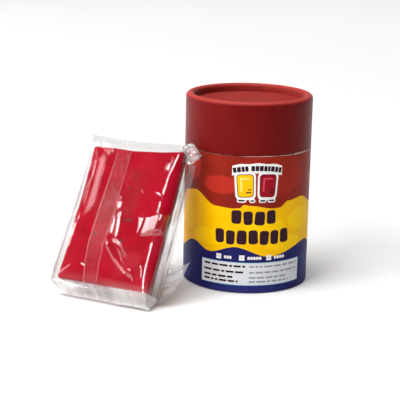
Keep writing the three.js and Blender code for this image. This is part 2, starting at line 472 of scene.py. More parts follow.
# Lighter patches of the artwork: centre across, centre height, half width, half height, strength.
RED_PATCHES = [
    (-15, 61.5, 11.5, 5.5, 1), (14.5, 67.5, 24, 12.5, 0.35), (-36, 70, 8, 9, 0.9),
    (60, 62, 14, 6, 1), (88, 70, 10, 8, 0.7), (120, 60, 15, 5, 1), (150, 70, 12, 8, 0.6),
]
YELLOW_PATCHES = [
    (12, 37, 13, 6, 0.8), (36, 41, 11, 7, 1), (-22, 31, 13, 5, 1), (24, 28, 14, 5, 1),
    (-40, 40, 7, 9, 1), (66, 38, 14, 6, 1), (98, 34, 12, 7, 1), (130, 40, 16, 6, 1),
]
BLUE_PATCHES = [
    (2, 1, 26, 5, 1), (44, 12, 10, 8, 1), (-44, 10, 9, 8, 1), (90, 8, 22, 6, 1), (140, 10, 16, 7, 1),
]


def patch_share(across, height, patches):
    """How far inside the nearest patch a place is, from 0 outside to 1."""
    share = np.zeros(across.shape)
    for x, z, wide, tall, strength in patches:
        dx = (across - x + LABEL_ROUND / 2) % LABEL_ROUND - LABEL_ROUND / 2
        d = np.hypot(dx / wide, (height - z) / tall)
        share = np.maximum(share, strength * smoothstep((1 - d) * min(wide, tall) / 0.9))
    return share


def around(across, height, radius):
    """Points on the canister from places on the label."""
    return ring_points(radius, np.asarray(across) / RADIUS, height)


CUT_EDGE, LABEL_BACK = 3, 4


def make_label():
    """The label: blue, yellow and red bands outside, plain paper inside."""
    across = np.linspace(LABEL_JOIN, LABEL_JOIN + LABEL_ROUND, LABEL_COLUMNS, endpoint=False)
    levels = [np.full(LABEL_COLUMNS, LABEL_FOOT), through(BLUE_EDGE, across)]
    levels += [through(RED_EDGE, across), np.full(LABEL_COLUMNS, BODY_TOP)]
    heights, zones = [], []
    for zone, (low, high) in enumerate(zip(levels, levels[1:])):
        heights += [mix(low, high, k / BAND_ROWS) for k in range(BAND_ROWS)]
        zones += [zone] * BAND_ROWS
    heights = np.array(heights + [levels[-1]])
    wide = np.repeat(across[None], len(heights), 0)
    outer = around(wide, heights, RADIUS)
    inner = around(wide[[-1, 0]], heights[[-1, 0]], RADIUS - PAPER)
    points = np.concatenate([outer, inner]).reshape(-1, 3)
    faces = grid_faces(len(heights) + 2, LABEL_COLUMNS, wrap=True, wrap_rows=True)
    shares = [patch_share(wide, heights, p) for p in (BLUE_PATCHES, YELLOW_PATCHES, RED_PATCHES)]
    picks = np.array(zones + [zones[-1]])
    share = np.take_along_axis(np.array(shares), picks[None, :, None], 0)[0]
    share = np.concatenate([share, np.zeros((2, LABEL_COLUMNS))])
    zones += [CUT_EDGE, LABEL_BACK, CUT_EDGE]
    looks = [
        paper_look("ink_blue", srgb(30, 27, 88), srgb(40, 44, 108), 0.42, blob="patch"),
        paper_look("ink_yellow", srgb(244, 184, 0), srgb(252, 202, 0), 0.42, blob="patch"),
        paper_look("ink_red", srgb(126, 31, 18), srgb(178, 45, 32), 0.42, blob="patch", nap=0.1),
        paper_look("cut_paper", srgb(222, 188, 176), srgb(236, 214, 204), 0.8),
        board_look("label_back", srgb(214, 204, 186), srgb(196, 184, 166)),
    ]
    label = make_mesh("label_paper", points, faces, looks, "canister",
                      ["body_label"], indices=np.repeat(zones, LABEL_COLUMNS))
    set_attribute(label, "patch", share)


class Print:
    """Flat inks laid on the label as one piece, each layer a hair above the one under it."""

    LIFT = 0.03
    STEP = 1.3

    def __init__(self):
        self.points, self.faces, self.indices = [], [], []

    def shape(self, outline, ink, layer):
        """A filled shape that can be seen whole from its middle."""
        outline = np.asarray(outline, float)
        ahead = np.roll(outline, -1, 0)
        rim = []
        for a, b in zip(outline, ahead):
            count = max(1, math.ceil(math.dist(a, b) / self.STEP))
            rim += [mix(a, b, k / count) for k in range(count)]
        rim = np.array(rim)
        middle = (outline.min(0) + outline.max(0)) / 2
        reach = np.linalg.norm(rim - middle, axis=1).max()
        rings = max(1, math.ceil(reach / self.STEP))
        start = sum(len(p) for p in self.points)
        flat = np.concatenate([mix(middle, rim, k / rings) for k in range(rings, 0, -1)] + [[middle]])
        self.points.append(around(flat[:, 0], flat[:, 1], RADIUS + layer * self.LIFT))
        n = len(rim)
        faces = [tuple(f) for f in grid_faces(rings, n, wrap=True, start=start)]
        inner, centre = start + (rings - 1) * n, start + rings * n
        faces += [(inner + i, inner + (i + 1) % n, centre) for i in range(n)]
        self.faces += faces
        self.indices += [ink] * len(faces)

    def block(self, x, z, wide, tall, ink, layer, corner=0.4, tilt=0.0, taper=0.0):
        """A rectangle with round corners, about its middle; taper narrows its foot."""
        corner = min(corner, wide / 2, tall / 2)
        steps = 4 if corner > 0.25 else 2
        outline = []
        for sx, sz, start in ((1, 1, 0), (-1, 1, 90), (-1, -1, 180), (1, -1, 270)):
            outline += bend(sx * (wide / 2 - corner), sz * (tall / 2 - corner), corner,
                            start, start + 90, steps)
        outline = np.array(outline)
        outline[:, 0] *= 1 + taper * outline[:, 1] / tall
        c, s = math.cos(math.radians(tilt)), math.sin(math.radians(tilt))
        outline = outline @ np.array([[c, s], [-s, c]]) + [x, z]
        self.shape(outline, ink, layer)

    def words(self, left, right, z, tall, ink, layer, seed):
        """A row of short bars that stands for a line of small print."""
        rng = np.random.default_rng(seed)
        x = left
        while x < right - 0.8:
            wide = min(rng.uniform(1.6, 5.2), right - x)
            self.block(x + wide / 2, z, wide, tall, ink, layer, tall * 0.3)
            x += wide + 0.75

    def make(self, name, looks):
        points = np.concatenate(self.points)
        make_mesh(name, points, self.faces, looks, "canister",
                  sharp=0, indices=self.indices)


BADGE_MIDDLE = 5.9
BADGE_FEET = 53.5
ARCH_HALF = 14.2
ARCH_TOP, ARCH_MIDDLE, ARCH_FOOT = 74.6, 71.8, 69.0
ARCH_DROP = 1.6
ARCH_BLOCKS = [1.9, 2.1, 1.7, 1.7, None, 2.0, 1.9, 2.2, 1.8, 1.4, 2.1, 1.8, 1.7]
ARCH_SPACE = 0.9
ARCH_GAP = 0.36


def make_badge(white, dark, yellow, red, shade):
    """A plain badge: two bars of clay side by side under an arched strip of short blocks."""
    badge = Print()
    arch = []
    for t in np.linspace(-1, 1, 17):
        top = ARCH_TOP + 0.25 * math.cos(9 * t)
        arch.append((BADGE_MIDDLE + ARCH_HALF * t, top - ARCH_DROP * t * t))
    for t in np.linspace(1, -1, 17):
        arch.append((BADGE_MIDDLE + ARCH_HALF * t, ARCH_FOOT - ARCH_DROP * t * t))
    badge.shape(arch, 0, 1)
    total = sum(wide or ARCH_SPACE for wide in ARCH_BLOCKS) + ARCH_GAP * (len(ARCH_BLOCKS) - 1)
    x = -total / 2
    for wide in ARCH_BLOCKS:
        step = wide or ARCH_SPACE
        middle = x + step / 2
        if wide:
            t = middle / ARCH_HALF
            badge.block(BADGE_MIDDLE + middle, ARCH_MIDDLE - ARCH_DROP * t * t, wide, 2.9, 1, 3,
                        0.35, tilt=-13 * t)
        x += step + ARCH_GAP
    for side, ink, tilt in ((-1, 2, 3), (1, 3, -2)):
        middle = BADGE_MIDDLE + side * 6.3 - 0.4
        glint = 5 if side < 0 else 4
        badge.block(middle, 61.7, 11.6, 15.6, 0, 1.5 + 0.2 * side, 2.6, tilt, 0.1)
        badge.block(middle, 61.9, 9.3, 13.0, 1, 3, 1.9, tilt, 0.1)
        badge.block(middle, 61.9, 8.5, 12.2, ink, 4, 1.6, tilt, 0.1)
        badge.block(middle - 2.3, 62.6, 0.9, 7.6, glint, 5, 0.4, tilt)
        badge.block(middle + 0.4, 65.9, 4.6, 0.8, glint, 5, 0.4, tilt)
        badge.block(middle + 1.9, 58.2, 3.0, 0.7, 1, 5, 0.3, tilt)
        badge.block(middle + 2.4, 59.8, 2.0, 0.6, 1, 5, 0.3, tilt)
    for x, wide in ((-8.6, 5.2), (-2.6, 3.4), (3.2, 4.4), (8.4, 4.6)):
        badge.block(BADGE_MIDDLE + x, BADGE_FEET, wide, 2.3, 0, 1.2, 1.1)
        badge.block(BADGE_MIDDLE + x, BADGE_FEET, wide - 1.4, 0.9, 1, 3, 0.4)
    badge.make("label_badge", [white, dark, yellow, red, *shade])


def make_heading(dark):
    """Two rows of heavy blocks in the place of a title."""
    heading = Print()
    rows = [
        (43.7, 7.8, [(-5.0, 5.6), (1.2, 5.1), (7.5, 5.8), (13.8, 5.3)]),
        (32.4, 8.1, [(-13.9, 5.2), (-8.0, 5.0), (-1.9, 5.5), (4.2, 5.2), (10.2, 5.2), (16.0, 4.8),
                     (21.9, 5.3)]),
    ]
    for row, (z, tall, blocks) in enumerate(rows):
        for k, (x, wide) in enumerate(blocks):
            lean = 3.0 * math.sin(2.3 * k + 1.1 * row)
            rise = 0.35 * math.cos(1.9 * k + row)
            heading.block(1.05 * x, z + rise, wide, tall, 0, 1, 1.6, lean,
                          0.14 * math.sin(1.7 * k + 0.5))
    heading.make("label_heading", [dark])


def make_boxes(white, grey):
    """Three tick boxes, each with a short bar beside it."""
    boxes = Print()
    for k, (x, wide) in enumerate(((-14.9, 4.6), (-1.6, 8.2), (13.8, 7.0))):
        boxes.block(x, 20.6, 3.0, 3.0, 0, 1, 0.25)
        boxes.block(x, 20.6, 0.22, 2.9, 1, 2, 0.05)
        boxes.block(x, 20.6, 2.9, 0.22, 1, 2, 0.05)
        parts = (3, 5, 4)[k]
        part = wide / parts
        for j in range(parts):
            boxes.block(x + 3.0 + part * (j + 0.5), 20.5, part * 0.8, 1.7, 0, 1, 0.3)
    boxes.make("label_boxes", [white, grey])


PANEL_LEFT, PANEL_RIGHT = -25.9, 35.2
PANEL_FOOT, PANEL_TOP = 4.8, 17.6


def make_panel(pale, dark, grey, edge):
    """The information panel: a pale field with four rows of small print in two columns."""
    panel = Print()
    middle = ((PANEL_LEFT + PANEL_RIGHT) / 2, (PANEL_FOOT + PANEL_TOP) / 2)
    wide, tall = PANEL_RIGHT - PANEL_LEFT, PANEL_TOP - PANEL_FOOT
    panel.block(*middle, wide + 0.5, tall + 0.5, 3, 1, 0.2)
    panel.block(*middle, wide, tall, 0, 2, 0.1)
    for k, (z, left_end, right_end) in enumerate((
        (15.6, 0.5, 33.8), (12.2, 1.0, 33.0), (9.2, -6.5, 25.0), (6.8, -3.5, 27.0),
    )):
        panel.words(-24.2, left_end, z, 1.15, 1, 3, 40 + k)
        panel.words(2.6, right_end, z - 0.1, 1.0, 2, 3, 60 + k)
    panel.make("label_panel", [pale, dark, grey, edge])


def make_prints():
    white = ink_look("ink_white", srgb(236, 232, 230))
    dark = ink_look("ink_dark", srgb(44, 24, 34))
    yellow = ink_look("ink_badge_yellow", srgb(250, 186, 10))
    red = ink_look("ink_badge_red", srgb(150, 18, 34))
    pink = ink_look("ink_badge_pink", srgb(206, 70, 84))
    cream = ink_look("ink_badge_pale", srgb(255, 222, 120))
    pale = ink_look("ink_panel", srgb(212, 213, 216))
    grey = ink_look("ink_grey", srgb(142, 146, 158))
    edge = ink_look("ink_panel_edge", srgb(120, 190, 214))
    make_badge(white, dark, yellow, red, (pink, cream))
    make_heading(ink_look("ink_heading", srgb(50, 26, 38)))
    make_boxes(white, grey)
    make_panel(pale, dark, grey, edge)


# ---- canister: worn seam ----

SEAM_COLUMNS = 900
TORN_START, TORN_END = 16, 47


def make_seam():
    """The label's raw top edge: pale torn paper with a few lifted fibres towards the right, paler along
    the front as a painted highlight.
    """
    across = np.linspace(-LABEL_ROUND / 2, LABEL_ROUND / 2, SEAM_COLUMNS, endpoint=False)
    wear = rumple(across, 0, 6.5, 31)
    worn = np.clip(wear, 0, 1)
    torn = smoothstep((across - TORN_START) / 16) * smoothstep((TORN_END - across) / 8)
    fibres = np.clip(rumple(across, 0, 1.1, 77) + 0.25, 0, 1)
    tall = np.minimum(0.12 + 0.14 * worn + 0.5 * torn * fibres, 0.9)
    out = 0.03 + 0.16 * worn + 0.30 * torn
    rows = [
        (BODY_TOP - 0.16 - 0.25 * torn, RADIUS + 0.01),
        (BODY_TOP - 0.04, RADIUS + 0.7 * out),
        (BODY_TOP + 0.5 * tall, RADIUS + out),
        (BODY_TOP + tall, RADIUS + 0.6 * out),
        (BODY_TOP + 0.02, RADIUS - 0.2),
    ]
    points = np.concatenate([around(across, z, r) for z, r in rows])
    look = Look("torn_paper")
    fibre = look.noise(3200, 3, 0.6)
    share = look.maths("MULTIPLY", look.attribute("wear"), look.span(fibre, 0.3, 0.6), True)
    torn_paper = look.solid({
        "Base Color": look.blend(share, srgb(120, 34, 28), srgb(232, 202, 190)),
        "Roughness": look.span(fibre, 0.2, 0.8, 0.8, 0.95),
        "Normal": look.bump(fibre, 0.0001),
    })
    piece = make_mesh("label_raw_edge", points, grid_faces(len(rows), SEAM_COLUMNS, wrap=True),
                      [torn_paper], "canister", sharp=0)
    # Painted highlight: the pale edge is raised along the front, on top of the wear and the tear.
    front = smoothstep((across + 12) / 22) * smoothstep((52 - across) / 10)
    wear_and_painted_highlight = np.clip(0.15 + 0.6 * wear + 0.8 * torn + 0.35 * front, 0, 1)
    set_attribute(piece, "wear", np.tile(wear_and_painted_highlight, len(rows)))


# ---- canister: lid ----

# Length of one swell of the rim, about a sixteenth of the way round.
SWELL_ROUND = 14.137


def make_lid():
    """The lid: maroon paper over a board tube, a sunk face and the board that carries it."""
    # The lighter maroon is painted where the rim and inner-wall share is high: on the rolled rim it is
    # partly wear, partly a painted highlight; on the recess's inner wall it is painted light.
    maroon = paper_look("maroon_paper", srgb(104, 6, 7), srgb(178, 64, 57), 0.40, 0.00005, "wear_and_painted_light",
                        gloss=0.07, cloudy=0.06, nap=0.12)
    # A lighter copy of the maroon paper for the sunk face: painted light on the upward face.
    painted_lit_facing = paper_look("face_paper", srgb(144, 44, 39), srgb(162, 60, 55), 0.4, 0.00005, gloss=0.2)
    board = board_look("lid_board")
    outline = [(RADIUS - PAPER + 0.05, LID_FOOT), (RADIUS - 0.08, LID_FOOT), (RADIUS, LID_FOOT + 0.1)]
    outline += bend(RIM_CENTRE, RIM_LEVEL, RIM_ROUND, 0, 180, 20)
    outline += [(RIM_CENTRE - RIM_ROUND, FACE_FOOT), (RIM_CENTRE - RIM_ROUND + PAPER, FACE_FOOT)]
    outline += bend(RIM_CENTRE, RIM_LEVEL, RIM_ROUND - PAPER, 180, 0, 20)

    def hand_rolled(r, a, z):
        """Small pleats where the sheet turns in over the rim, and a slightly uneven roll."""
        arc = a * RADIUS
        inward = smoothstep((RIM_CENTRE + 0.6 - r) / 1.8) * smoothstep((z - FACE_FOOT - 0.4) / 1.5)
        over = smoothstep((z - RIM_LEVEL) / RIM_ROUND)
        pleat = 0.11 * lattice_noise(arc / 1.7, z / 6, 5) + 0.06 * lattice_noise(arc / 0.8, z / 4, 6)
        swell = 0.09 * lattice_noise(arc / SWELL_ROUND, 0, 7)
        return r + inward * pleat + over * swell * 0.6, z - over * np.abs(swell) * 0.8

    wrap = turned_piece("lid_paper", outline, maroon, "lid", ["lid_wrap"], 1.6,
                        hand_rolled)
    across, along, level = (np.array([v.co for v in wrap.data.vertices]) / MM).T
    reach = np.hypot(across - AXIS[0], along - AXIS[1])
    # Painted light: the recess's inner wall takes the lighter maroon.
    painted_light_inner_wall = 0.45 * smoothstep((RIM_CENTRE - 1.2 - reach) / 0.8)
    # Wear and painted highlight: the top of the rolled rim takes the lighter maroon.
    rim = smoothstep((level - RIM_LEVEL - 0.3) / 2.0)
    set_attribute(wrap, "wear_and_painted_light", np.maximum(painted_light_inner_wall, rim))
    tube = ring_outline(LID_TUBE_INNER, TUBE_RADIUS, LID_FOOT + 0.02, RIM_LEVEL)
    turned_piece("lid_board_tube", tube, board, "lid", ["lid_tube"])
    turned_disc("lid_face_paper", FACE_RADIUS, FACE_FOOT, FACE_TOP, 0.1, painted_lit_facing, "lid",
                ["lid_face"])
    turned_disc("lid_inner_board", CUP_RADIUS, CUP_FOOT, FACE_FOOT - 0.1, 0.3, board, "lid",
                ["lid_cup"])


# ---- bar pack: the clay ----

CLAY_LEFT, CLAY_RIGHT = -CLAY_WIDTH / 2, CLAY_WIDTH / 2
CLAY_EDGE = 1.4
# Where the front starts to turn back at the right, by height: the clay's, and the film's above
# and below the height where it splits.
CLAY_ROLL = [(0, 27.0), (20, 25.0), (40, 24.6), (60, 24.2), (81, 27.4)]
ROLL_SPLIT = 43.2
ROLL_UPPER = [(43, 23.4), (54, 24.0), (65, 24.6), (81, 28.0)]
ROLL_LOWER = [(-2, 28.0), (6, 26.1), (15, 25.1), (28, 25.2), (34, 26.6), (44.5, 29.2)]
# How far the left edge bulges at each height, which keeps it straight where the face falls back.
LEFT_PULL = [(0, 0.0), (8, -0.5), (20, -1.0), (34, -0.5), (40, 0.7), (47, 1.9), (80, 2.0)]
ROLL_OFF_START = -12
ROLL_OFF_REACH = 14
ROLL_LEAD = 1.7
ROLL_CURVE = 0.085


def rolled(x, start):
    """How far a face has turned back at the right, past a line that its edge starts from."""
    past = np.clip(x - start + ROLL_LEAD, 0, None)
    soft = 1 / (2 * ROLL_CURVE)
    return np.where(past < soft, ROLL_CURVE * past ** 2, past - soft / 2)


def roll_off(x, z):
    """How far the face falls back towards the left edge, more so in its upper half."""
    left = np.clip(ROLL_OFF_START - x, 0, None)
    fall = np.where(left < ROLL_OFF_REACH, left ** 2, ROLL_OFF_REACH * (2 * left - ROLL_OFF_REACH))
    return fall * mix(0.004, 0.020, smoothstep((z - 32) / 16))


def press(x, z):
    """How far the front of the bar lies behind its flat front plane, from handling and slumping."""
    middle = 0.45 * np.exp(-(((x - 6) / 20) ** 2 + ((z - 42) / 30) ** 2))
    dents = 0.06 * rumple(x + 50, z + 20, 19, 11, 2)
    return 0.3 + roll_off(x, z) + middle + dents + rolled(x, between(CLAY_ROLL, z))


def corner_loop(corners, cuts, counts, turn_steps):
    """A closed loop through four corners, each rounded off from its cut distance."""
    corners = np.asarray(corners, float)
    loop = []
    for i in range(4):
        here, before, after = corners[i], corners[i - 1], corners[(i + 1) % 4]
        back, on = before - here, after - here
        cut = min(cuts[i], 0.48 * np.linalg.norm(back), 0.48 * np.linalg.norm(on))
        start = here + back / max(np.linalg.norm(back), 1e-6) * cut
        end = here + on / max(np.linalg.norm(on), 1e-6) * cut
        t = np.linspace(0, 1, turn_steps + 1)[:, None]
        loop.append((1 - t) ** 2 * start + 2 * t * (1 - t) * here + t ** 2 * end)
    points = []
    for i in range(4):
        points.append(loop[i])
        a, b = loop[i][-1], loop[(i + 1) % 4][0]
        t = np.linspace(0, 1, counts[i] + 1)[1:-1, None]
        points.append(mix(a, b, t))
    return np.concatenate(points)


def level_loop(z, corners, cuts, counts, turn_steps):
    """A rounded loop laid out at one height."""
    loop = corner_loop(corners, cuts, counts, turn_steps)
    return np.column_stack([loop, np.full(len(loop), z)])


def clay_look():
    """Kneadable clay: strong red, faint streaks of mixing, a waxy uneven gloss."""
    look = Look("clay_red")
    warp = look.add("TexNoise", {"Vector": look.place(), "Scale": 38.0, "Detail": 3.0})
    streak = look.add("TexNoise", {"Vector": warp.outputs["Color"], "Scale": 5.0, "Detail": 4.0})
    grain = look.noise(900, 4, 0.6)
    pits = look.noise(2400, 2, 0.5)
    streaks = look.span(streak.outputs["Fac"], 0.35, 0.65)
    tone = look.blend(streaks, srgb(143, 1, 21), srgb(161, 3, 33))
    height = look.maths("ADD", grain, look.maths("MULTIPLY", pits, 0.4))
    return look.solid({
        "Base Color": look.blend(look.span(grain, 0.55, 0.8, 0.0, 0.3), tone, srgb(132, 1, 18)),
        "Roughness": look.span(grain, 0.3, 0.7, 0.5, 0.66),
        "Normal": look.bump(height, 0.00012),
        "Specular IOR Level": 0.04,
        "Subsurface Weight": 0.06,
        "Subsurface Radius": (0.004, 0.0008, 0.0006),
        "Subsurface Scale": 0.4,
    })


def make_clay():
    """A soft slab: pulled corners, edges that bow, a front that follows press()."""
    foot = [(0, 6.4), (0, 5.2), (0, 3.6)]
    for a in np.radians(np.linspace(0, 90, 8)):
        foot.append((CLAY_EDGE * (1 - math.cos(a)), CLAY_EDGE * (1 - math.sin(a))))
    levels = foot + [(z, 0) for z in np.linspace(CLAY_EDGE, CLAY_LENGTH - CLAY_EDGE, 112)[1:-1]]
    levels += [(CLAY_LENGTH - z, inset) for z, inset in reversed(foot)]
    points = []
    for z, inset in levels:
        left, right = CLAY_LEFT + inset, CLAY_RIGHT + 0.2 - inset
        front, back = inset, CLAY_THICKNESS - inset
        corners = [(left, front), (right + 0.4, front), (right - 1.2, back), (left + 0.6, back)]
        points.append(level_loop(z, corners, (2.6, 1.5, 6.2, 4.2), (86, 16, 74, 16), 7))
    columns = len(points[0])
    x, y, z = np.moveaxis(np.array(points), -1, 0)
    u, v = x / (CLAY_WIDTH / 2), (z / CLAY_LENGTH) * 2 - 1
    bow = 1 - v ** 2
    x = x + np.where(u < 0, between(LEFT_PULL, z), bow * 0.4) * u
    x = x + 0.5 * (1 - bow) * u * np.where(v < 0, 1.0, 1.4)
    z = z + np.where(v > 0, 0.5 * u + 1.5 * u ** 4 - 0.1, -1.1 * u + 0.2) * np.abs(v)
    z = z + np.where(v > 0, -0.9 * (1 - np.abs(u)) * v, 0.5 * (1 - np.abs(u)) * -v)
    z = z + 0.16 * rumple(x + 9, y + 3, 7, 21, 2) * np.abs(v) ** 6
    x = x + 0.14 * rumple(z + 9, y + 3, 8, 23, 2) * np.abs(u) ** 6
    y = y + press(x, z) * np.clip(1 - y / CLAY_THICKNESS, 0, 1)
    y = y - 0.10 * rumple(x + 5, z + 4, 9, 25, 2) * smoothstep((y - 9) / 4)
    faces = [tuple(f) for f in grid_faces(len(levels), columns, wrap=True)]
    last = (len(levels) - 1) * columns
    faces.append(tuple(range(columns))[::-1])
    faces.append(tuple(last + i for i in range(columns)))
    points = in_pack(np.stack([x, y, z], -1).reshape(-1, 3))
    make_mesh("clay_slab", points, faces, [clay_look()], "bar_pack", ["clay_bar"], 60)


# Specks of grit and trapped air on the front: across, up, half width, half height, lean.
SPECKS = [
    (9.8, 64.2, 0.35, 0.25, 0), (1.9, 57.0, 0.5, 0.4, 0), (-8.8, 45.4, 0.6, 0.35, 20),
    (-12.3, 46.7, 0.35, 0.35, 0), (6.5, 38.8, 1.9, 0.4, 8), (-20, 30.8, 0.3, 0.25, 0),
    (-18.1, 25.8, 0.3, 0.25, 0), (-11.1, 28.4, 0.6, 0.8, -30), (5.8, 26.8, 0.7, 0.9, -20),
    (-10.2, 16.5, 0.3, 0.25, 0), (-5.1, 32.8, 0.3, 0.3, 0), (23.2, 46.6, 0.4, 1.4, -10),
    (22.6, 37.0, 0.35, 0.9, 5), (-12.8, 24.0, 0.3, 0.2, 0), (3.4, 64.8, 0.3, 0.22, 15),
]
SPECK_SPREAD = 1.45
SPOKES = 12
# Rings of a speck, from its rim to its middle: share of its width, and how far it stands out.
SPECK_RINGS = [(1.0, -0.03), (0.6, 0.14), (0.0, 0.18)]


def make_specks():
    """Dark grit pressed into the face of the clay."""
    look = Look("grit")
    grain = look.noise(3000, 2, 0.5)
    grit = look.solid({
        "Base Color": look.blend(grain, srgb(44, 2, 10), srgb(70, 8, 18)),
        "Roughness": look.span(grain, 0.3, 0.7, 0.4, 0.7),
        "Normal": look.bump(grain, 0.00005),
    })
    points, faces = [], []
    a = np.linspace(0, 2 * math.pi, SPOKES, endpoint=False)
    for n, (x, z, wide, tall, lean) in enumerate(SPECKS):
        wide, tall = wide * SPECK_SPREAD, tall * SPECK_SPREAD
        ragged = 1 + 0.25 * np.sin(3 * a + n) + 0.15 * np.cos(5 * a + 2 * n)
        c, s = math.cos(math.radians(lean)), math.sin(math.radians(lean))
        start = len(points)
        for ring, high in SPECK_RINGS:
            across, up = ring * ragged * wide * np.cos(a), ring * ragged * tall * np.sin(a)
            rim_x, rim_z = x + across * c - up * s, z + across * s + up * c
            rim = list(zip(rim_x, press(rim_x, rim_z) - high, rim_z))
            points += rim if ring else rim[:1]
        faces += [tuple(f) for f in grid_faces(2, SPOKES, wrap=True, start=start)]
        inner, middle = start + SPOKES, start + 2 * SPOKES
        faces += [(inner + i, inner + (i + 1) % SPOKES, middle) for i in range(SPOKES)]
    make_mesh("clay_grit", in_pack(points), faces, [grit], "bar_pack", sharp=0)


# ---- bar pack: the film pouch ----
# Creases on the front of the film: points (across, up), height, and half width to the left and
# right of the line as it is followed.

CREASES = [
    ([(28.6, 75), (28.9, 64), (29.6, 53)], 0.25, 0.4, 0.9),
    ([(-1.9, 52), (-2.0, 42), (-2.4, 33), (-2.8, 27)], 0.50, 0.5, 1.7),
    ([(-0.8, 45), (0.7, 35), (1.0, 27)], 0.40, 0.6, 1.5),
    ([(-2.8, 28), (-3.4, 23.0), (3.8, 15.2), (12, 9.6), (21.5, 4.2)], 0.52, 1.8, 1.2),
    ([(-2.2, 27), (4.9, 23.2), (10.8, 16.4), (15.6, 8.2)], 0.50, 0.8, 2.2),
    ([(-25.6, 82.5), (-24.4, 77.5), (-23.0, 71)], 1.0, 0.8, 1.5),
    ([(-22.5, 82.5), (-17.8, 79.0), (-13.0, 74.6)], 0.6, 1.6, 0.9),
    ([(-26.4, 64), (-25.8, 50), (-25.8, 34), (-26.2, 12)], 0.62, 0.9, 1.3),
    ([(14.2, 31), (16.0, 38), (16.4, 43)], 0.30, 1.3, 0.6),
    ([(-27, 2.5), (-20.5, 8.6), (-14.5, 10.2), (-9.5, 9.0)], 0.30, 1.3, 1.0),
    ([(8.5, 57), (11.8, 54.5), (12.6, 52), (10.0, 49.4)], 0.14, 0.7, 0.9),
    ([(21.6, 68), (22.2, 73.5), (24.0, 77)], 0.34, 1.5, 0.7),
    ([(21.4, 15), (23.2, 7)], 0.20, 0.6, 1.0),
    ([(-8.5, 12), (-5.4, 6.5)], 0.20, 0.6, 1.0),
    ([(0.5, 58), (2.6, 55)], 0.14, 0.5, 0.9),
    ([(18.4, 56), (22.5, 54.5), (26, 52)], 0.22, 1.3, 1.0),
]


def crease(x, z, points, height, left_half, right_half):
    """A ridge along a line of points, dying away at both ends."""
    points = np.asarray(points, float)
    steps = np.linalg.norm(np.diff(points, axis=0), axis=1)
    length = steps.sum()
    nearest = np.full(x.shape, 1e9)
    along, half = np.zeros(x.shape), np.ones(x.shape)
    done = 0.0
    for a, b, step in zip(points, points[1:], steps):
        dx, dz = b - a
        t = np.clip(((x - a[0]) * dx + (z - a[1]) * dz) / step ** 2, 0, 1)
        d = np.hypot(x - mix(a[0], b[0], t), z - mix(a[1], b[1], t))
        on_right = dx * (z - a[1]) - dz * (x - a[0]) > 0
        closer = d < nearest
        along = np.where(closer, (done + t * step) / length, along)
        half = np.where(closer, np.where(on_right, right_half, left_half), half)
        nearest = np.minimum(nearest, d)
        done += step
    ends = smoothstep(along / 0.15) * smoothstep((1 - along) / 0.15)
    return height * ends * np.exp(-(nearest / half) ** 2)


def tent(x, z):
    """The fold that stands up by the right edge, halfway along: a facet that faces left."""
    rise = np.clip(x - 13.6 + 0.22 * (z - 36), 0, None)
    lower = smoothstep((z - (29.4 + 0.26 * rise)) / 2.4)
    upper = smoothstep(((42.2 + 0.05 * (rise - 4) * rise / 3) - z) / 1.0)
    return 0.26 * np.minimum(rise, 14.5) * lower * upper


# Gaps from the clay's front to the film and to the fin, and where the film stops following it.
FILM_GAP, FIN_GAP = 0.55, 0.95
FOLLOWS_TO = 21.0


def film_front(x, z):
    """Depth of the film's front skin, always in front of the clay."""
    ridges = sum(crease(x, z, *c) for c in CREASES)
    ripple = 0.016 * rumple(x + 31, z + 7, 6.5, 51, 2)
    lower, upper = rolled(x, between(ROLL_LOWER, z)), rolled(x, between(ROLL_UPPER, z))
    roll = mix(lower, upper, smoothstep((z - ROLL_SPLIT) / 2.2))
    drawn = 0.85 * roll_off(x, z) * smoothstep((z - 70) / 12)
    flat = press(np.minimum(x, FOLLOWS_TO), z) - FILM_GAP
    return flat + roll - drawn - ridges - tent(x, z) - ripple


LEFT_EDGE = [(-7, -25), (-4.5, -27.5), (-1, -31.2), (8, -31.5), (20, -30.6), (36, -30.0), (54, -29.5),
             (70, -29.2), (86, -28.8)]
FILM_FOOT, FILM_HEAD = -6.7, 85.2


def film_section(z):
    """The four corners of the pouch at a height, and how much each is rounded."""
    left = float(between(LEFT_EDGE, z))
    top = smoothstep((z - CLAY_LENGTH) / (FILM_HEAD - CLAY_LENGTH))
    foot = smoothstep(-(z - 0.5) / (-FILM_FOOT + 0.5))
    back = mix(mix(14.6, 1.0, top), 6.2, foot)
    lead = mix(mix(0.0, 0.1, top), 4.9, foot ** 1.7)
    wing = mix(mix(1.0, 0.5, top), 5.4, foot)
    right = mix(29.0, 28.4, top)
    turned = float(film_front(np.array([right]), np.array([z]))[0])
    lead = mix(lead, max(lead, turned), (1 - top) * (1 - foot))
    out = mix(mix(30.3, 28.8, top), 30.8, foot)
    return [(left, wing), (right, lead), (out, back), (mix(-28.2, left + 0.6, top), back)]


# How mirror-like the film is: face on, at a grazing slant, and what a full stack of folds adds.
FILM_MIRROR, SLANT_MIRROR, FOLD_MIRROR = 0.045, 0.6, 0.5
FILM_RIPPLE = 0.00003


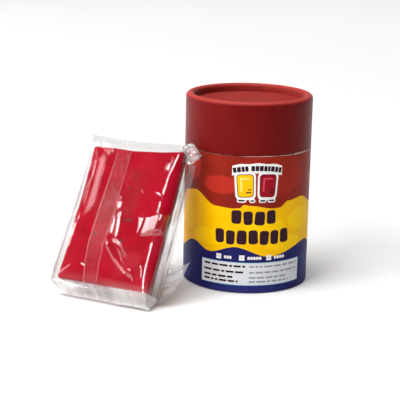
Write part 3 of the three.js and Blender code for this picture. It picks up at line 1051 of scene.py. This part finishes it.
def film_look(name, haze, roughness=0.06, knurl=0.0, mirror=FILM_MIRROR):
    """Clear film: see-through, mirror-like at a slant, greyer where its folds share is high: folded
    layers, and on the pouch also painted shade of what lies behind it.
    """
    look = Look(name)
    wave = look.noise(420, 4, 0.6)
    height = wave
    if knurl:
        lines = look.add("TexWave", {"Vector": look.place(), "Scale": knurl}, bands_direction="Z")
        height = look.maths("ADD", wave, lines.outputs["Fac"])
    bumped = look.bump(height, FILM_RIPPLE)
    shine = look.add("BsdfGlossy", {"Roughness": roughness, "Normal": bumped})
    folds = look.attribute("folds")
    # Painted shade in part: the grey tint darkens what shows through, for folded layers and, on the
    # pouch, for shade behind it.
    tone = look.blend(folds, (1, 1, 1, 1), srgb(176, 168, 166))
    clear = look.add("BsdfTransparent", {"Color": tone})
    slant = look.add("LayerWeight", {"Blend": 0.5, "Normal": bumped}).outputs["Facing"]
    mirror = look.span(look.maths("POWER", slant, 5.0), 0.0, 1.0, mirror, SLANT_MIRROR)
    layered = look.maths("MULTIPLY", look.maths("POWER", folds, 2.0), FOLD_MIRROR)
    mirror = look.maths("ADD", mirror, layered, True)
    mirror = look.maths("ADD", mirror, look.attribute("gleam"), True)
    skin = look.mixed(mirror, clear, shine)
    milk = look.add("BsdfDiffuse", {"Color": (0.93, 0.92, 0.92, 1), "Normal": bumped})
    share = look.maths("ADD", haze, look.attribute("haze"), True)
    share = look.maths("MULTIPLY", share, look.span(wave, 0.3, 0.7, 0.9, 1.1), True)
    if knurl:
        share = look.maths("MULTIPLY", share, look.span(lines.outputs["Fac"], 0.0, 1.0, 0.6, 1.4))
    return look.finish(look.mixed(share, skin, milk))


def sheet(rows, columns, closed=False):
    """Shares of the way up and across a sheet of film."""
    up = np.linspace(0, 1, rows)[:, None]
    return up, np.linspace(0, 1, columns, endpoint=not closed)[None]


def film_piece(name, look, x, y, z, shares, stands_for=(), closed=False):
    """A piece of film from its grid of places in the pack, with the shares its look reads."""
    points = np.stack(np.broadcast_arrays(x, y, z), -1)
    shape = points.shape[:2]
    piece = make_mesh(name, in_pack(points.reshape(-1, 3)), grid_faces(*shape, wrap=closed), [look],
                      "bar_pack", stands_for, 0)
    for key, share in shares.items():
        set_attribute(piece, key, np.broadcast_to(share, shape))


POUCH_COUNTS, POUCH_TURNS = (200, 26, 60, 24), 5


def make_pouch():
    """The pouch: one tube of film that follows the clay, pinched at its head and tucked at its foot."""
    levels = np.concatenate([
        np.linspace(FILM_FOOT, 1, 22, endpoint=False), np.linspace(1, 79, 200, endpoint=False),
        np.linspace(79, FILM_HEAD, 22),
    ])
    sections = [film_section(z) for z in levels]
    loops = [level_loop(z, section, (0.35, 1.0, 2.2, 2.0), POUCH_COUNTS, POUCH_TURNS)
             for z, section in zip(levels, sections)]
    x, y, z = np.moveaxis(np.array(loops), -1, 0)
    corners = np.array(sections)[..., None]
    left, right = corners[:, 0, 0], corners[:, 1, 0]
    wing, lead = corners[:, 0, 1], corners[:, 1, 1]
    chord = mix(wing, lead, np.clip((x - left) / (right - left), 0, 1))
    front_end = 2 * (POUCH_TURNS + 1) + POUCH_COUNTS[0] - 1
    is_front = np.arange(x.shape[1])[None] + 0 * x < front_end
    behind = np.clip(y - chord, 0, None) * is_front
    inside = smoothstep((x + 31.3) / 3.2) * smoothstep((z + 4.0) / 4.5)
    skin = film_front(np.minimum(x, right), z) + behind
    top_share = smoothstep((z - 79.2) / 3.0)
    ribs = 0.015 * np.sin(z * 3.4 + 0.7 * np.sin(x * 0.17))
    ribs = ribs + 0.04 * rumple(x / 3 + 8, z + 2, 3.2, 61, 2)
    skin = mix(skin, -0.25 - 0.2 * smoothstep((x - 10) / 20) + ribs + behind, top_share)
    y = np.where(is_front, mix(y, skin, inside), y)
    side = smoothstep((x - 27) / 2) * smoothstep((y - lead - 0.5) / 2.5) * smoothstep((z + 3) / 5)
    folds = 0.30 * rumple(y * 1.6 + 3, z / 5 + 5, 4, 71, 3) + 0.30 * np.sin(y * 0.9 + z * 0.02)
    folds = folds + 0.5 * smoothstep((26 - z) / 20) * rumple(y * 1.2 + 9, z / 2 + 4, 5, 73, 2)
    x = x + side * folds * ~is_front * (1 - top_share)
    rear = smoothstep((y - 10) / 3) * (1 - np.abs((x / 31)) ** 8)
    y = y + rear * 0.18 * rumple(x + 4, z + 9, 9, 81, 3) * ~is_front * (1 - top_share)
    low = smoothstep((0.5 - z) / 3) * smoothstep((z - FILM_FOOT) / 2)
    y = y + 0.7 * rumple(x / 1.8 + 2, z * 0.8 + y + 6, 5.5, 91, 2) * low
    head = smoothstep((z - 79) / 6.2)
    z = z + head * (0.9 * np.abs((x + 1) / 30) ** 1.6 - 0.75)
    z = z + smoothstep((0.5 - z) / 6) * (0.25 * rumple(x + 7, 0, 9, 95, 2) - 0.012 * x)
    edge_line = np.exp(-((z - FILM_HEAD - head * 0.2) / 0.8) ** 2)
    left_margin = smoothstep((-28.6 - x) / 1.2)
    foot_share = smoothstep((1.2 - z) / 1.4)
    patchy = np.clip(0.5 + 0.6 * rumple(y * 1.3 + 3, z / 3 + 5, 3.5, 131, 2), 0, 1)
    pleated = np.clip(0.5 + 0.7 * rumple(x + 40 + 0.5 * z, z / 4 + y / 3 + 5, 3.6, 151, 3), 0, 1)
    cloudy = np.clip(rumple(x + 40, z + 11, 14, 141, 2), 0, 1) ** 2
    foot_glow = smoothstep((6.5 - 0.03 * x - z) / 5) * (0.6 + 0.8 * smoothstep((x + 5) / 15))
    haze = 0.002 + 0.03 * top_share + 0.05 * edge_line + (0.22 + 0.18 * pleated) * foot_share
    haze = haze + (0.05 + 0.10 * smoothstep((34 - z) / 20)) * side
    haze = haze + (0.035 * foot_glow + 0.012 * cloudy) * is_front
    # Grey tint on the side, foot, head and left margin: partly folded layers, partly painted shade of
    # the shadowed floor and canister seen through the film.
    folded_and_shaded = (0.2 + mix(0.25, 0.6, smoothstep((z - 8) / 25)) * patchy) * side
    folded_and_shaded = folded_and_shaded + (0.10 + 0.14 * pleated) * foot_share
    folded_and_shaded = folded_and_shaded + 0.16 * top_share + 0.2 * edge_line + 0.42 * left_margin
    gleam = 0.11 * smoothstep(tent(x, z) / 0.5) * smoothstep((29.5 - x) / 2) * is_front
    film_piece("film_pouch", film_look("clear_film", 0.0), x, y, z,
               {"haze": haze, "folds": np.clip(folded_and_shaded, 0, 1), "gleam": gleam},
               ["film_sleeve", "film_top_seal", "film_bottom_seal"], closed=True)


FIN_FOOT, FIN_HEAD = -4.5, 84.2
FIN_LEFT = [
    (-4.5, -8.8), (0, -9.6), (12, -12.2), (23, -13.2), (41, -12.5), (62, -11.0), (80, -10.2),
    (85, -10),
]
FIN_RIGHT = [
    (-4.5, -1.4), (0, -1.7), (12, -3.1), (24, -3.5), (37, -2.4), (51, -2.4), (63, -2.1),
    (85, -1.6),
]


def make_fin():
    """The welded back seam: a frosted flat strip along the front with fine cross ribs."""
    v, t = sheet(240, 26)
    z = mix(FIN_FOOT, FIN_HEAD, v) + 0 * t
    x = mix(between(FIN_LEFT, z), between(FIN_RIGHT, z), t)
    ridges = 0.6 * sum(crease(x, z, *c) for c in CREASES[1:4])
    lift = 0.7 * smoothstep((t - 0.8) / 0.2) * np.exp(-((z - 36) / 16) ** 2)
    y = press(x, z) - FIN_GAP - ridges - lift - 0.04 * rumple(x, z, 3, 101, 2)
    y = mix(y, -0.62, smoothstep((z - 79) / 4)) - 0.12 * smoothstep((1.5 - z) / 4)
    rim = np.maximum(smoothstep((0.05 - t) / 0.04), smoothstep((t - 0.96) / 0.03))
    frost = 0.022 * np.exp(-((z - 38) / 19) ** 2) + 0.012 * smoothstep((12 - z) / 8)
    film_piece("film_fin_strip", film_look("frosted_film", 0.002, 0.1, 700, 0.008), x, y, z,
               {"haze": 0.24 * rim + frost}, ["film_fin_seal"])


def make_ear():
    """The pouch's top right corner, gathered into a small crumpled knot."""
    v, t = sheet(46, 72, closed=True)
    a = 2 * math.pi * t
    wide = 5.5 * np.sin(math.pi * v) ** 0.6
    drawn_in = 1 + 0.26 * lattice_noise(a * 3 + 8, v * 4, 111)
    drawn_in = drawn_in + 0.10 * lattice_noise(a * 8 + 8, v * 9, 113)
    x = 31.0 + wide * np.cos(a) * drawn_in - 3.0 * (v - 0.5)
    y = 5.6 + 0.42 * wide * np.sin(a) * drawn_in
    z = mix(76.8, 88.0, v) + 1.1 * lattice_noise(a * 2, v * 3, 115)
    creased = np.clip(lattice_noise(a * 6 + 3, v * 7, 117), 0, 1)
    film_piece("film_ear", film_look("crumpled_film", 0.04, 0.12), x, y, z,
               {"haze": 0.10 + 0.12 * creased, "folds": 0.25 + 0.5 * creased}, closed=True)


def make_tail():
    """Loose pleats that run from the ear down the back right edge."""
    v, t = sheet(120, 26)
    spread = mix(2.6, 1.1, smoothstep(v * 1.4))
    x = mix(33.6, 30.9, v ** 0.7) + spread * (t - 0.5) * 1.6
    y = mix(6.5, 13.6, v ** 0.6) + 0.55 * np.sin(t * 11 + 3 * v) * mix(1.0, 0.6, v)
    film_piece("film_side_pleats", film_look("pleated_film", 0.04, 0.10), x, y, mix(76, 2.0, v),
               {"haze": 0.03, "folds": 0.3})


def make_flap():
    """The pouch's bottom right corner: a pointed flap with curved pleats."""
    v, t = sheet(70, 44)
    outer = between([(0, 31.0), (0.15, 34.5), (0.55, 39.6), (1, 42.6)], v)
    x = mix(mix(29.4, 30.4, v), outer, t)
    z = mix(-1.0, 22.0, v) + 2.2 * t * v ** 2 - 1.4 * np.sin(t * math.pi) * v
    pleats = 0.55 * np.sin(17 * v - 3.2 * t + 0.8 * np.sin(5 * t)) * smoothstep(t / 0.25)
    y = 15.4 + pleats + 0.3 * rumple(x, z, 4, 121, 2) - 0.6 * t
    haze = 0.10 + 0.1 * smoothstep((t - 0.97) / 0.03)
    shade = 0.36 + 0.26 * np.sin(17 * v - 3.2 * t + 1.2) + 0.3 * smoothstep((t - 0.95) / 0.05)
    film_piece("film_flap", film_look("flap_film", 0.05, 0.3), x, y, z,
               {"haze": haze, "folds": np.clip(shade, 0, 1)})


# ---- floor and light ----

FLOOR_HALF = 8
FLOOR_DROP = 0.0002
# Distances in metres from the floor's middle between which it goes from its near tone to its far one.
FLOOR_NEAR, FLOOR_FAR = 0.3, 1.4


def neutral(level):
    """A colour with no hue."""
    return (level, level, level, 1)


def make_floor():
    """A pale floor that goes to white away from the object."""
    look = Look("pale_floor")
    near = look.blend(look.noise(2.5, 2), neutral(0.79), neutral(0.81))
    reach = look.add("VectorMath", {0: look.place()}, operation="LENGTH").outputs["Value"]
    paint = look.solid({
        "Base Color": look.blend(look.span(reach, FLOOR_NEAR, FLOOR_FAR), near, neutral(0.97)),
        "Roughness": 0.9,
        "Specular IOR Level": 0.2,
    })
    mesh = bpy.data.meshes.new("floor")
    corners = [(x * FLOOR_HALF, y * FLOOR_HALF, 0) for x, y in ((-1, -1), (1, -1), (1, 1), (-1, 1))]
    mesh.from_pydata(corners, [], [(0, 1, 2, 3)])
    mesh.materials.append(paint)
    floor = bpy.data.objects.new("floor", mesh)
    floor.location.z = -FLOOR_DROP
    bpy.context.scene.collection.objects.link(floor)


# The surround's brightness by height, from the horizon to straight up.
SKY = [(0.0, 0.11), (0.10, 0.09), (0.22, 0.006), (0.86, 0.006), (0.93, 1.0), (1.0, 1.0)]
SKY_STRENGTH = 5.2


def make_world():
    """Soft studio surround: pale near the horizon, dim above it, a broad light overhead, and a
    white backdrop where the camera sees past the floor."""
    world = bpy.data.worlds.new("studio")
    world.use_nodes = True
    nodes = Nodes(world.node_tree, "World")
    split = nodes.add("SeparateXYZ", {0: nodes.add("TexCoord").outputs["Generated"]})
    ramp = nodes.add("ValToRGB", {"Fac": split.outputs["Z"]})
    stops = ramp.color_ramp.elements
    for position, _ in SKY[1:-1]:
        stops.new(position)
    for stop, (position, level) in zip(stops, SKY):
        stop.position = position
        stop.color = neutral(level)
    aside = nodes.span(split.outputs["X"], -0.2, 0.7, 1.0, 0.2)
    dimmed = nodes.add("VectorMath", {0: ramp.outputs["Color"], "Scale": aside}, operation="SCALE")
    surround = nodes.add("Background", {"Color": dimmed.outputs[0], "Strength": SKY_STRENGTH})
    backdrop = nodes.add("Background", {"Color": neutral(1)})
    nodes.finish(nodes.mixed(nodes.add("LightPath").outputs["Is Camera Ray"], surround, backdrop))
    bpy.context.scene.world = world


# Name, azimuth, elevation, distance, width, height, radiance, and whether mirrors show it.
SOFTBOXES = [
    ("wash", -52, 32, 1.8, 1.2, 1.0, 12, False),
    ("sheen", -94, 25, 1.3, 0.66, 0.6, 7.5, True),
    ("low", -81, 12, 1.3, 0.26, 0.2, 26, True),
    ("spark", -113, 13, 1.3, 0.24, 0.24, 30, True),
    ("strip_right", -29, 42.5, 1.4, 0.62, 0.34, 30, True),
    ("strip_top", -66, 52, 1.4, 0.62, 0.26, 30, True),
]


def softbox(name, azimuth, elevation, distance, wide, tall, radiance, mirrored):
    """A soft-edged light panel aimed at the object. Azimuth 0 is the camera's side, minus its left."""
    data = bpy.data.lights.new(name, "AREA")
    data.shape = "RECTANGLE"
    data.size, data.size_y = wide, tall
    data.energy = radiance * math.pi * wide * tall
    data.use_nodes = True
    nodes = Nodes(data.node_tree, "Light")
    place = nodes.add("NewGeometry").outputs["Parametric"]
    reach = nodes.add("VectorMath", {0: place, 1: (0.5, 0.5, 0)}, operation="DISTANCE")
    fade = nodes.span(reach.outputs["Value"], 0.5, 0.1, interpolation_type="SMOOTHSTEP")
    nodes.finish(nodes.add("Emission", {"Strength": fade}))
    light = bpy.data.objects.new(name, data)
    a, e = math.radians(azimuth), math.radians(elevation)
    out = Vector((math.sin(a) * math.cos(e), -math.cos(a) * math.cos(e), math.sin(e)))
    light.location = Vector((0, 0, 0.05)) + out * distance
    light.rotation_euler = (-out).to_track_quat("-Z", "Y").to_euler()
    light.visible_camera = False
    light.visible_glossy = mirrored
    bpy.context.scene.collection.objects.link(light)


def make_lights():
    make_world()
    for box in SOFTBOXES:
        softbox(*box)
    bpy.context.scene.view_settings.view_transform = "Standard"


make_camera()
make_floor()
make_lights()
make_boards()
make_label()
make_prints()
make_seam()
make_lid()
make_clay()
make_specks()
make_pouch()
make_fin()
make_ear()
make_tail()
make_flap()

bpy.context.view_layer.update()
